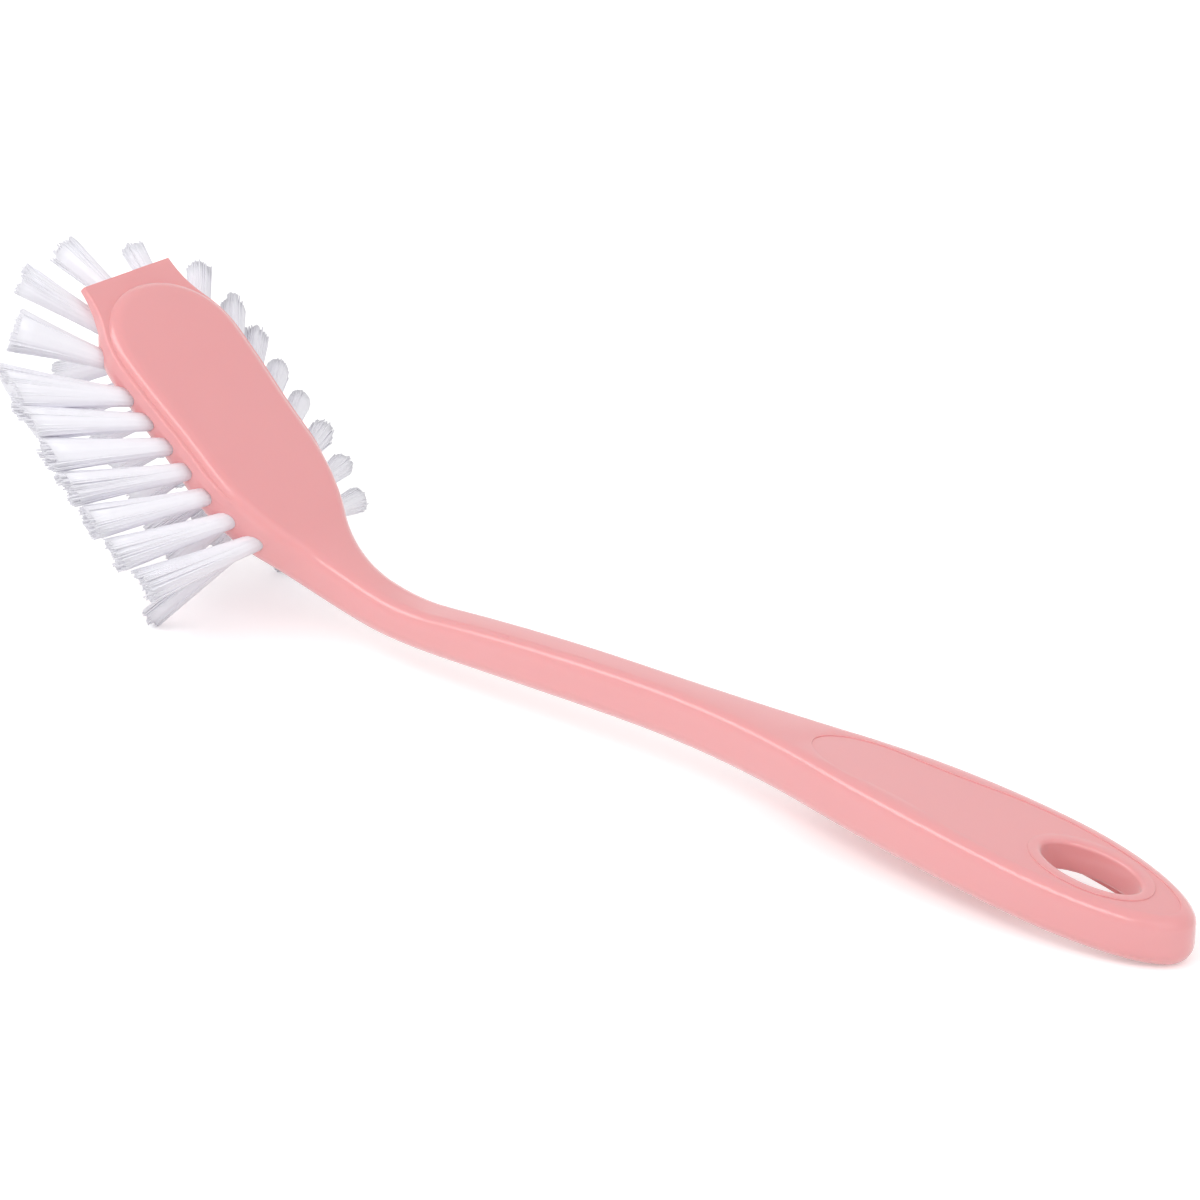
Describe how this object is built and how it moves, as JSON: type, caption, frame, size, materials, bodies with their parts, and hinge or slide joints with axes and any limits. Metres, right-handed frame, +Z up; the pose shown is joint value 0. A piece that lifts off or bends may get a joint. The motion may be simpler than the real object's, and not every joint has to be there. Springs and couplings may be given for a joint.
{
  "type": "dish brush",
  "caption": "Long-handled dish brush with a bowed grip, oval hang hole, angled oval head, straight scraper edge and splayed nylon bristle tufts held by flat anchors.",
  "frame": {"origin": "middle of the footprint, on the table the brush lies on", "axes": "+X from the head to the end of the handle, +Z up, Y across the brush; the XZ plane is the plane of symmetry"},
  "size_m": [0.2884, 0.073, 0.0674],
  "materials": {
    "pink_polypropylene": "satin moulded",
    "white_nylon": "drawn filament",
    "anchor_brass": "cut wire"
  },
  "bodies": {
    "root": {"moulded_body": "pink_polypropylene", "tuft_anchors": "anchor_brass", "tuft_centre_nose_3": "white_nylon", "tuft_far_heel": "white_nylon", "tuft_far_middle_1": "white_nylon", "tuft_far_middle_2": "white_nylon", "tuft_far_middle_3": "white_nylon", "tuft_far_middle_4": "white_nylon", "tuft_far_middle_5": "white_nylon", "tuft_far_middle_6": "white_nylon", "tuft_far_middle_7": "white_nylon", "tuft_far_nose_1": "white_nylon", "tuft_far_nose_2": "white_nylon", "tuft_far_side_1": "white_nylon", "tuft_far_side_2": "white_nylon", "tuft_far_side_3": "white_nylon", "tuft_far_side_4": "white_nylon", "tuft_far_side_5": "white_nylon", "tuft_far_side_6": "white_nylon", "tuft_far_side_7": "white_nylon", "tuft_near_heel": "white_nylon", "tuft_near_middle_1": "white_nylon", "tuft_near_middle_2": "white_nylon", "tuft_near_middle_3": "white_nylon", "tuft_near_middle_4": "white_nylon", "tuft_near_middle_5": "white_nylon", "tuft_near_middle_6": "white_nylon", "tuft_near_middle_7": "white_nylon", "tuft_near_nose_1": "white_nylon", "tuft_near_nose_2": "white_nylon", "tuft_near_side_1": "white_nylon", "tuft_near_side_2": "white_nylon", "tuft_near_side_3": "white_nylon", "tuft_near_side_4": "white_nylon", "tuft_near_side_5": "white_nylon", "tuft_near_side_6": "white_nylon", "tuft_near_side_7": "white_nylon"}
  },
  "joints": []
}
